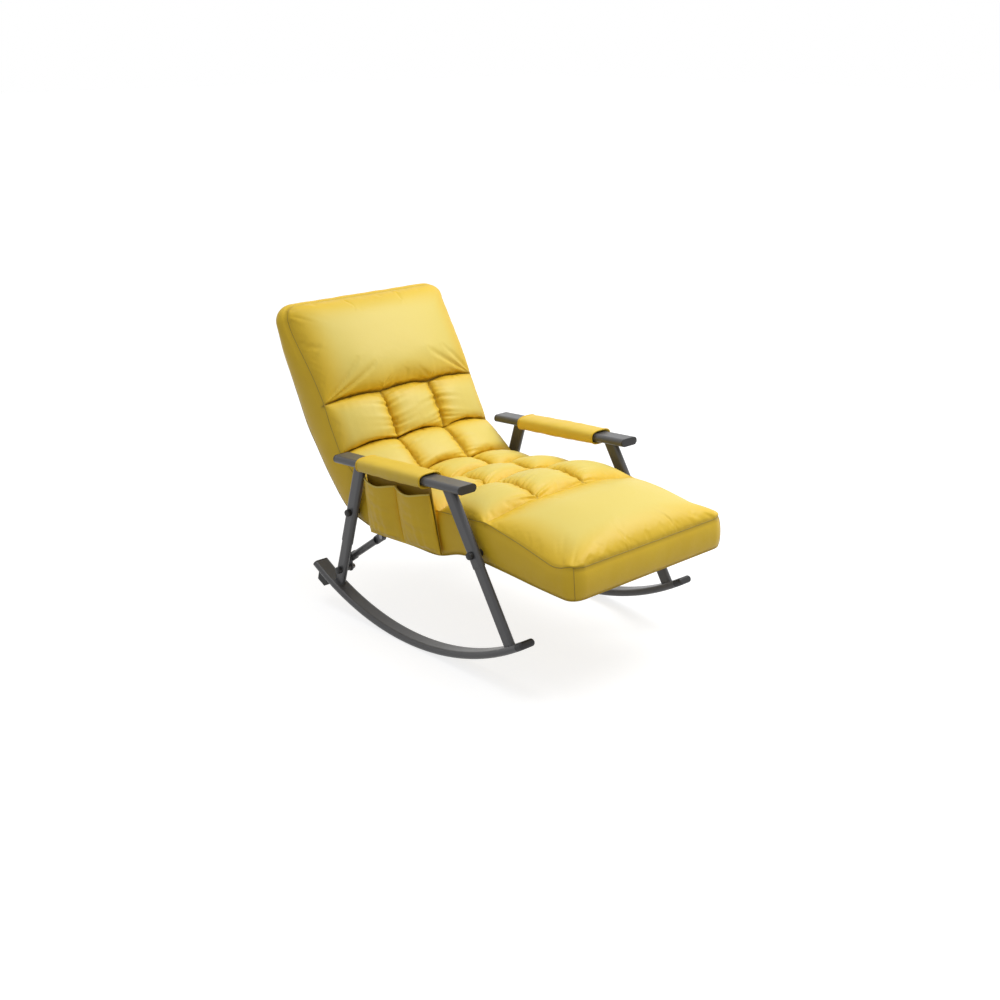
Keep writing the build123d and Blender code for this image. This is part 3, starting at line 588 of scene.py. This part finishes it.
def leather(name, pale, deep, painted_shade_colour, painted_highlight_colour):
    """Grained leatherette, with painted shade in its creases and seams and a painted highlight on its
    crowns, as each point's attributes give them.
    """
    material, tree, shader = new_material(name)
    mottling = ranged(tree, noise(tree, scale=9, detail=4), low=-0.2, high=1.2)
    mixed = colour_mix(tree, mottling, pale)
    mixed.inputs["A"].default_value = (*deep, 1)
    # Painted highlight colour over the crowns, then painted shade colour where the crease attribute gives it
    for label, colour in (("crown", painted_highlight_colour), ("crease", painted_shade_colour)):
        share = tree.nodes.new("ShaderNodeAttribute")
        share.attribute_name = label
        over = colour_mix(tree, share.outputs["Fac"], colour)
        tree.links.new(mixed.outputs["Result"], over.inputs["A"])
        mixed = over
    tree.links.new(mixed.outputs["Result"], shader.inputs["Base Color"])
    gloss = ranged(tree, noise(tree, scale=60, detail=3), low=0.40, high=0.52)
    tree.links.new(gloss, shader.inputs["Roughness"])
    place = tree.nodes.new("ShaderNodeTexCoord")
    grain = tree.nodes.new("ShaderNodeTexVoronoi")
    grain.inputs["Scale"].default_value = 620
    tree.links.new(place.outputs["Object"], grain.inputs["Vector"])
    fine = bump(tree, grain.outputs["Distance"], strength=0.25, distance=0.0004)
    soft = bump(tree, noise(tree, scale=45, detail=5), strength=0.25, distance=0.002)
    tree.links.new(fine.outputs["Normal"], soft.inputs["Normal"])
    tree.links.new(soft.outputs["Normal"], shader.inputs["Normal"])
    shader.inputs["Specular IOR Level"].default_value = 0.34
    return material


def coat(name, colour, rough, metallic=0.0, grain=900):
    """A plain coat with a fine surface grain."""
    unevenness = 0.06
    material, tree, shader = new_material(name)
    shader.inputs["Base Color"].default_value = (*colour, 1)
    shader.inputs["Metallic"].default_value = metallic
    gloss = ranged(tree, noise(tree, scale=25, detail=3), low=rough - unevenness, high=rough + unevenness)
    tree.links.new(gloss, shader.inputs["Roughness"])
    fine = bump(tree, noise(tree, scale=grain, detail=2), strength=0.15, distance=0.0003)
    tree.links.new(fine.outputs["Normal"], shader.inputs["Normal"])
    return material


yellow = leather(
    "yellow_leatherette_look",
    pale=(0.85, 0.572, 0.031),
    deep=(0.80, 0.515, 0.024),
    painted_shade_colour=(0.22, 0.12, 0.006),
    painted_highlight_colour=(0.81, 0.65, 0.150),
)
thread = coat("seam_thread_look", (0.46, 0.32, 0.035), rough=0.6)
looks = {
    "grey_powder_coat": coat("grey_powder_coat_look", (0.090, 0.090, 0.094), rough=0.34),
    "zinc_steel": coat("zinc_steel_look", (0.22, 0.22, 0.23), rough=0.4, metallic=1.0),
    "black_plastic": coat("black_plastic_look", (0.012, 0.012, 0.013), rough=0.5),
    "rubber": coat("rubber_look", (0.02, 0.02, 0.02), rough=0.7),
    "webbing": coat("webbing_look", (0.012, 0.012, 0.014), rough=0.8, grain=300),
}
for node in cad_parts.values():
    for number, material in enumerate(node.data.materials):
        for slot_name, look in looks.items():
            if material and material.name.startswith(slot_name):
                node.data.materials[number] = look


# The pad's two pieces and their seams
def pad_piece(name, half):
    """One of the pad's two pieces as an object, closed where they meet."""
    faces = pad_faces[half] + [tuple(cut)]
    used = np.unique(np.concatenate([np.array(face) for face in faces]))
    place = np.full(len(points), -1)
    place[used] = np.arange(len(used))
    piece = make_object(name, points[used], [tuple(int(place[v]) for v in face) for face in faces])
    # Painted shade in creases and seams, and painted highlight on the crowns
    tint(piece, "crease", shades[used])
    tint(piece, "crown", painted_highlights[used])
    piece.data.materials.append(yellow)
    return piece


front_pad = pad_piece("pad_seat_and_foot", "front")
rear_pad = pad_piece("pad_back_and_head", "rear")
rear_places = np.flatnonzero(loop_rows > split_row)
first_rear, last_rear = int(rear_places[0]), int(rear_places[-1])


def front_path(path):
    """The part of a loop round the pad that belongs to the front piece."""
    return np.concatenate([path[last_rear + 1:], path[:first_rear]])


def rear_path(path):
    """The part of a loop round the pad that belongs to the rear piece."""
    return path[first_rear - 1:last_rear + 2]


front_cords = [
    tube("pad_seam_seat_and_foot", front_path(seam_loop), cord_radius),
    tube("pad_under_seam_seat", front_path(under_loop), cord_radius),
]
rear_cords = [
    tube("pad_seam_back_and_head", rear_path(seam_loop), cord_radius),
    tube("pad_under_seam_back", rear_path(under_loop), cord_radius),
]
corner_cords = []
for side, place in (("right", 0), ("left", cols - 1)):
    number = loop_place[(0, place)]
    lift = corner_cord_lift * outward[number]
    path = [points[band_point(number, step)] + lift for step in range(boxing_steps + 1)]
    corner_cords.append(tube(f"pad_corner_seam_{side}", path, corner_cord_radius))
for cord in (*front_cords, *rear_cords, *corner_cords):
    cord.data.materials.append(thread)
for cord in corner_cords:
    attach(cord, "footrest")
for piece in (front_pad, *front_cords):
    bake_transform(piece)
for piece in (rear_pad, *rear_cords):
    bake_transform(piece)
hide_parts("seat_cushion", "foot_cushion", "foot_under_cover", "seat_under_cover")
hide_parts("back_cushion", "head_cushion", "back_cover")


def fix_to_frame(piece):
    """Covers a piece with leather and lets it ride on the chair's frame."""
    piece.data.materials.append(yellow)
    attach(piece, "chair_frame")


# Armrest sleeves
arm_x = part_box("armrest_left")[0].x / 2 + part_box("armrest_left")[1].x / 2
arm_front, arm_rear = np.array((-0.234, 0.491)), np.array((0.275, 0.458))  # its middle line, as (Y, Z)
arm_unit = (arm_rear - arm_front) / np.linalg.norm(arm_rear - arm_front)
arm_up = np.array((-arm_unit[1], arm_unit[0]))
sleeve_steps, sleeve_turns = 60, 72
sleeve_outer = (0.0375, 0.0185)  # half the width and half the height
sleeve_inner = (0.0312, 0.0121)
sleeve_square = (0.62, 0.72)  # small powers give square sides
sleeve_puff, puff_power = 0.0022, 0.5
sleeve_wave_depth, sleeve_waves, sleeve_wave_lean = 0.0006, 5, 0.15
sleeve_flare, flare_reach = 0.0035, 0.03  # the lining widens at both ends
# Share of the painted highlight colour, evenly over the whole sleeve
sleeve_painted_highlight = 0.3
rim_radius = 0.0022
along_sleeve = np.linspace(0, 1, sleeve_steps)[:, None]
sleeve_angles = 2 * pi * np.arange(sleeve_turns) / sleeve_turns
turn_cosine, turn_sine = np.cos(sleeve_angles)[None], np.sin(sleeve_angles)[None]


def sleeve_shell(side, sign, halves, swell):
    """Points of a tube round one armrest, widened by swell."""
    low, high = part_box(f"armrest_sleeve_{side}")
    across = (halves[0] + swell) * np.sign(turn_cosine) * np.abs(turn_cosine) ** sleeve_square[0]
    above = (halves[1] + swell) * np.sign(turn_sine) * np.abs(turn_sine) ** sleeve_square[1]
    distance = (low.y + (high.y - low.y) * along_sleeve - arm_front[0]) / arm_unit[0]
    centre = arm_front + distance[..., None] * arm_unit
    yz = centre + above[..., None] * arm_up
    return np.concatenate([(sign * arm_x + across)[..., None], yz], axis=-1)


def sleeve(side, sign):
    """A padded sleeve round one armrest, open at both ends."""
    between_ends = np.sin(pi * along_sleeve)
    waves = ripple(along_sleeve * sleeve_waves + sleeve_wave_lean * sign * turn_cosine, seed=2.0)
    padding = sleeve_puff * between_ends**puff_power + sleeve_wave_depth * waves * between_ends
    flare = sleeve_flare * np.exp(-((along_sleeve * (1 - along_sleeve)) / flare_reach) ** 2)
    shells = [sleeve_shell(side, sign, sleeve_outer, padding), sleeve_shell(side, sign, sleeve_inner, flare)]
    count = sleeve_steps * sleeve_turns
    faces = []
    for start in (0, count):
        for i in range(sleeve_steps - 1):
            here, there = start + i * sleeve_turns, start + (i + 1) * sleeve_turns
            for a in range(sleeve_turns):
                b = (a + 1) % sleeve_turns
                faces.append((here + a, here + b, there + b, there + a))
    for start in (0, count - sleeve_turns):
        for a in range(sleeve_turns):
            b = (a + 1) % sleeve_turns
            faces.append((start + a, start + b, count + start + b, count + start + a))
    piece = make_object(f"sleeve_{side}", np.concatenate([s.reshape(-1, 3) for s in shells]), faces)
    # Painted highlight, evenly over the sleeve
    tint(piece, "crown", np.full(2 * count, sleeve_painted_highlight))
    fix_to_frame(piece)
    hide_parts(f"armrest_sleeve_{side}")
    return shells[0]


for side, sign in (("left", 1), ("right", -1)):
    outer = sleeve(side, sign)
    for end, place in ((0, "front"), (-1, "rear")):
        rim = tube(f"sleeve_rim_{side}_{place}", outer[end], rim_radius, closed=True)
        fix_to_frame(rim)

# Pocket under the sleeve on the sitter's right
pocket_x = -0.289
pocket_bottom = np.array([(0.170, 0.266), (-0.121, 0.281)])  # rear and front end, as (Y, Z)
pocket_top_y = (0.188, -0.079)  # rear and front end
pocket_steps = (121, 61)  # points along and up the pocket
sleeve_half = 0.019  # from the armrest's middle line down to the pocket
mouth_drop = 0.025
mouth_sag = 0.009
pocket_bulge, bulge_roundness = 0.026, 0.55
bulge_least = 0.18  # share of the bulge that is the same all the way up
belly_power, bulge_low, bulge_span = 0.8, 0.06, 0.62  # part of a half wave that the bulge follows upwards
bulge_start, wrinkle_start = 0.12, 0.1  # shares of the height where they set in
level_wrinkle_depth, level_wrinkles, level_wrinkle_lean = 0.0016, 4, 1.5
upright_wrinkle_depth, upright_wrinkles = 0.0012, 9
back_gap, front_gap = 0.003, 0.0015  # from the pocket's middle to its two panels
cloth_half = 0.0011
# Share of painted shade on the layers that face into the pocket
pocket_shade = 0.7
hem_radius = 0.0026
hem_shift = np.array((-0.0005, 0, -0.001))


def pocket_edge(u):
    """Bottom and top of the pocket at a share of the way from its rear to its front, as (Y, Z)."""
    bottom = pocket_bottom[0] + (pocket_bottom[1] - pocket_bottom[0]) * u[..., None]
    y = pocket_top_y[0] + (pocket_top_y[1] - pocket_top_y[0]) * u
    z = arm_front[1] + (y - arm_front[0]) * arm_unit[1] / arm_unit[0] - sleeve_half
    return bottom, np.stack([y, z], axis=-1)


def cloth_sheet(name, grid, inner):
    """A thin closed sheet round a grid of points, with painted shade on its inner layer, which faces into
    the pocket.
    """
    thick = cloth_half * grid_normals(grid)
    count_u, count_v = grid.shape[:2]
    size = count_u * count_v
    faces = []
    for i in range(count_u - 1):
        for j in range(count_v - 1):
            cell = grid_quad(i, j, count_v)
            faces += [cell, tuple(size + k for k in cell)]
    rim = [i * count_v for i in range(count_u)]
    rim += [(count_u - 1) * count_v + j for j in range(1, count_v)]
    rim += [i * count_v + count_v - 1 for i in range(count_u - 2, -1, -1)]
    rim += range(count_v - 2, 0, -1)
    for a, b in zip(rim, rim[1:] + rim[:1]):
        faces.append((a, b, size + b, size + a))
    layers = np.concatenate([(grid + thick).reshape(-1, 3), (grid - thick).reshape(-1, 3)])
    piece = make_object(name, layers, faces)
    # Painted shade on the layer that faces into the pocket, through the crease attribute
    shade = np.zeros(2 * size)
    shade[inner * size:(inner + 1) * size] = pocket_shade
    tint(piece, "crease", shade)
    fix_to_frame(piece)
    return piece


along, up = np.meshgrid(*(np.linspace(0, 1, steps) for steps in pocket_steps), indexing="ij")
bottom, top = pocket_edge(along)
back_yz = bottom + (top - bottom) * up[..., None]
back_grid = np.concatenate([np.full((*along.shape, 1), pocket_x + back_gap), back_yz], axis=-1)
back_panel = cloth_sheet("pocket_back", back_grid, 1)
room = np.abs(np.sin(2 * pi * along))
mouth = top[..., 1] - mouth_drop - mouth_sag * np.sin(2 * pi * along) ** 2
front_top = np.stack([top[..., 0], mouth], axis=-1)
front_yz = bottom + (front_top - bottom) * up[..., None]
belly = np.sin(pi * (bulge_low + bulge_span * up)) ** belly_power
swell = room**bulge_roundness * (bulge_least + (1 - bulge_least) * belly) * smooth(up / bulge_start)
level = level_wrinkle_depth * ripple(up * level_wrinkles + level_wrinkle_lean * along, seed=5.0) * room
upright = upright_wrinkle_depth * ripple(along * upright_wrinkles, seed=4.0) * (1 - up)
wrinkle = (level + upright) * smooth(up / wrinkle_start)
front_x = pocket_x - front_gap - pocket_bulge * swell - wrinkle
front_grid = np.concatenate([front_x[..., None], front_yz], axis=-1)
front_panel = cloth_sheet("pocket_front", front_grid, 0)
hem = tube("pocket_hem", front_grid[:, -1] + hem_shift, hem_radius)
# Painted highlight along the hem
tint(hem, "crown", np.ones(len(hem.data.vertices)))
fix_to_frame(hem)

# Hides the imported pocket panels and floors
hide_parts("pocket_back_panel")
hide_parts("pocket_front_panel", "pocket_floors")

# Floor, light and camera
floor_half = 30.0
floor_colour = (0.40, 0.40, 0.405, 1)
floor_glow = 0.79  # brings the lit floor to white where the camera sees it
sky_light, sky_white = 0.43, 1.0
white = (1, 1, 1, 1)
sun_direction = Vector((0.05, -0.10, -0.99))
softbox_place, softbox_target = Vector((1.9, -1.0, 3.3)), Vector((0, 0, 0.45))
camera_place = (-2.4577, -2.6607, 1.5872)
camera_turn, camera_tilt = radians(-43.11), radians(18.69)


def seen(tree, unseen, strength):
    """A strength for camera, glossy and transmission rays, and another for rays that light the object."""
    rays = tree.nodes.new("ShaderNodeLightPath")
    either = rays.outputs["Is Camera Ray"]
    for kind in ("Is Glossy Ray", "Is Transmission Ray"):
        larger = tree.nodes.new("ShaderNodeMath")
        larger.operation = "MAXIMUM"
        tree.links.new(either, larger.inputs[0])
        tree.links.new(rays.outputs[kind], larger.inputs[1])
        either = larger.outputs[0]
    return ranged(tree, either, unseen, strength)


def add_to_scene(name, data):
    """An object for a mesh, lamp or camera."""
    thing = bpy.data.objects.new(name, data)
    bpy.context.scene.collection.objects.link(thing)
    return thing


def shine(lamp, direction):
    """Turns a lamp towards a direction."""
    lamp.rotation_euler = direction.to_track_quat("-Z", "Y").to_euler()


floor_corners = [(a * floor_half, b * floor_half, 0) for a, b in ((-1, -1), (1, -1), (1, 1), (-1, 1))]
floor_mesh = bpy.data.meshes.new("floor")
floor_mesh.from_pydata(floor_corners, [], [(0, 1, 2, 3)])
floor_look, floor_tree, floor_shader = new_material("floor_look")
floor_shader.inputs["Base Color"].default_value = floor_colour
floor_shader.inputs["Roughness"].default_value = 0.9
floor_shader.inputs["Specular IOR Level"].default_value = 0.1
floor_shader.inputs["Emission Color"].default_value = white
floor_tree.links.new(seen(floor_tree, 0.0, floor_glow), floor_shader.inputs["Emission Strength"])
floor_mesh.materials.append(floor_look)
floor = add_to_scene("floor", floor_mesh)

scene = bpy.context.scene
world = bpy.data.worlds.new("studio")
world.use_nodes = True
sky = world.node_tree.nodes["Background"]
sky.inputs["Color"].default_value = white
world.node_tree.links.new(seen(world.node_tree, sky_light, sky_white), sky.inputs["Strength"])
scene.world = world

sun = bpy.data.lights.new("key", "SUN")
sun.energy = 0.55
sun.angle = radians(30)
shine(add_to_scene("key", sun), sun_direction)
softbox = bpy.data.lights.new("softbox", "AREA")
softbox.shape = "DISK"
softbox.size = 2.4
softbox.energy = 82
softbox_object = add_to_scene("softbox", softbox)
softbox_object.location = softbox_place
shine(softbox_object, softbox_target - softbox_place)

lens = bpy.data.cameras.new("camera")
lens.sensor_fit = "HORIZONTAL"
lens.sensor_width = 36.0
lens.lens = 49.71
lens.shift_y = -0.010
camera = add_to_scene("camera", lens)
right = Vector((cos(camera_turn), sin(camera_turn), 0))
flat_share = cos(camera_tilt)
back = Vector((sin(camera_turn) * flat_share, -cos(camera_turn) * flat_share, sin(camera_tilt)))
axes = Matrix((right, back.cross(right), back)).transposed()
camera.matrix_world = Matrix.Translation(camera_place) @ axes.to_4x4()
scene.camera = camera
scene.view_settings.view_transform = "Standard"
